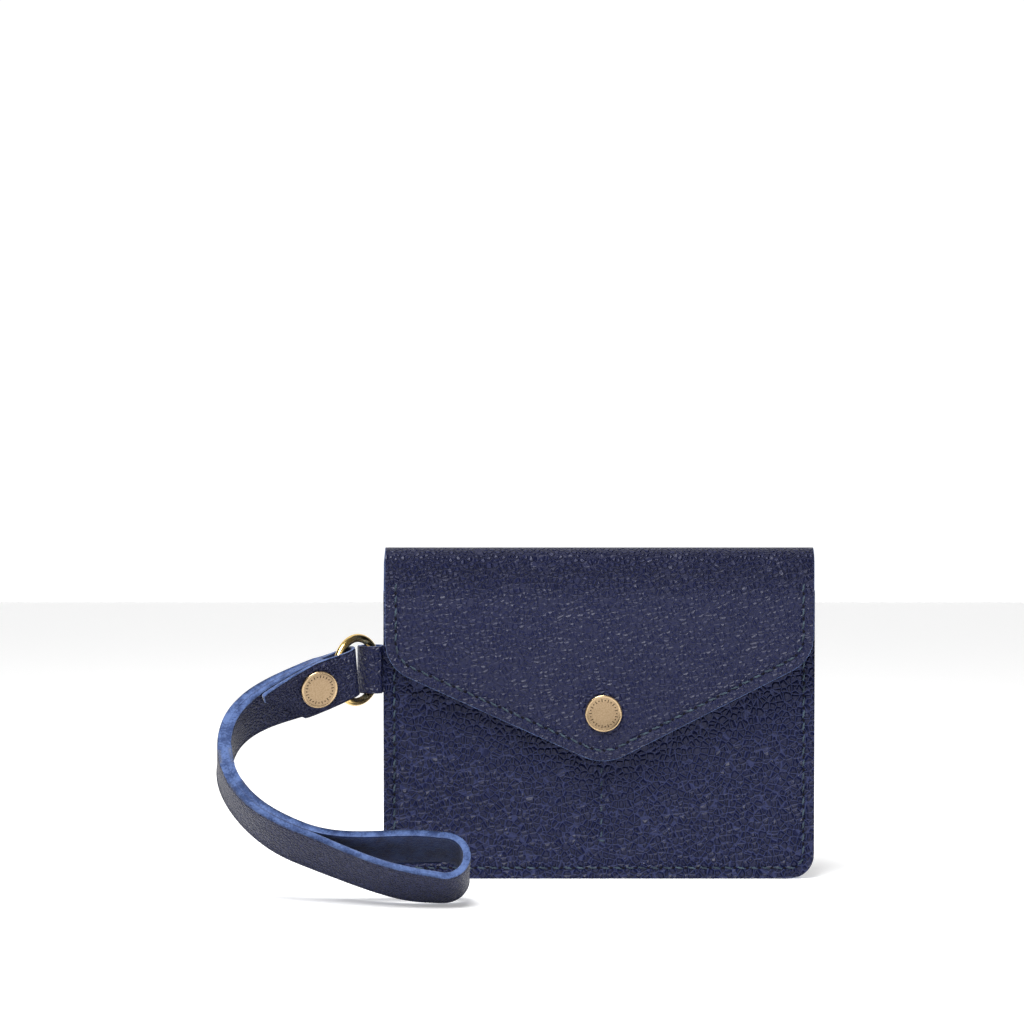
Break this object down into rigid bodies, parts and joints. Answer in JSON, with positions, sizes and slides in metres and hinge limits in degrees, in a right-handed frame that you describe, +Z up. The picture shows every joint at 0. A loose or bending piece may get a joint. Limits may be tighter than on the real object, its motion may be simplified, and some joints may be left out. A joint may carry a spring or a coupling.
{
  "type": "wristlet wallet",
  "caption": "Flat envelope wallet with a pointed snap-closed flap, a side tab holding a round ring, and a doubled leather wrist strap riveted round the ring.",
  "frame": {"origin": "middle of the wallet's bottom edge, on the surface it stands on", "axes": "+X to the wallet's right as seen from its flap side, -Y out of the flap's face, +Z up towards the fold"},
  "size_m": [0.1919, 0.0731, 0.108],
  "materials": {
    "navy_leather": "pebbled grain, slight sheen",
    "strap_leather": "pebbled grain, lighter blue raw edges",
    "pocket_leather": "smooth matt leather",
    "lining_leather": "matt suede",
    "thread": "waxed polyester thread",
    "antique_brass": "antiqued, worn bright at the rim",
    "gold_brass": "polished",
    "spring_wire": "bright wire"
  },
  "bodies": {
    "wallet": {"back_panel": "navy_leather", "front_panel": "navy_leather", "card_pocket": "pocket_leather", "ring_tab": "navy_leather", "snap_stud": "antique_brass", "snap_post": "antique_brass", "body_seam_stitching": "thread", "divider_stitching": "thread"},
    "fold": {"flap_fold": "navy_leather"},
    "flap": {"flap": "navy_leather", "flap_lining": "lining_leather", "flap_stitching": "thread", "snap_cap": "antique_brass", "snap_socket": "antique_brass", "snap_spring": "spring_wire"},
    "ring": {"o_ring": "gold_brass"},
    "strap": {"wrist_strap": "strap_leather", "strap_rivet_cap": "antique_brass", "strap_rivet_post": "antique_brass"}
  },
  "joints": [
    {"name": "fold_hinge", "type": "hinge", "parent": "wallet", "child": "fold", "pos_m": [0, 0.00238, 0.10618], "axis": [-1, 0, 0], "range_deg": [0, 90]},
    {"name": "flap_hinge", "type": "hinge", "parent": "fold", "child": "flap", "pos_m": [0, -0.00638, 0.10618], "axis": [-1, 0, 0], "range_deg": [0, 90]},
    {"name": "ring_swing", "type": "hinge", "parent": "wallet", "child": "ring", "pos_m": [-0.0735, -0.0014, 0.0687], "axis": [0, 0, 1], "range_deg": [-18, 25]},
    {"name": "strap_swing", "type": "hinge", "parent": "ring", "child": "strap", "pos_m": [-0.08324, -0.01433, 0.068], "axis": [0, 0, 1], "range_deg": [-5, 20]}
  ],
  "couplings": [
    {"joint": "flap_hinge", "follows": "fold_hinge", "ratio": 1}
  ]
}
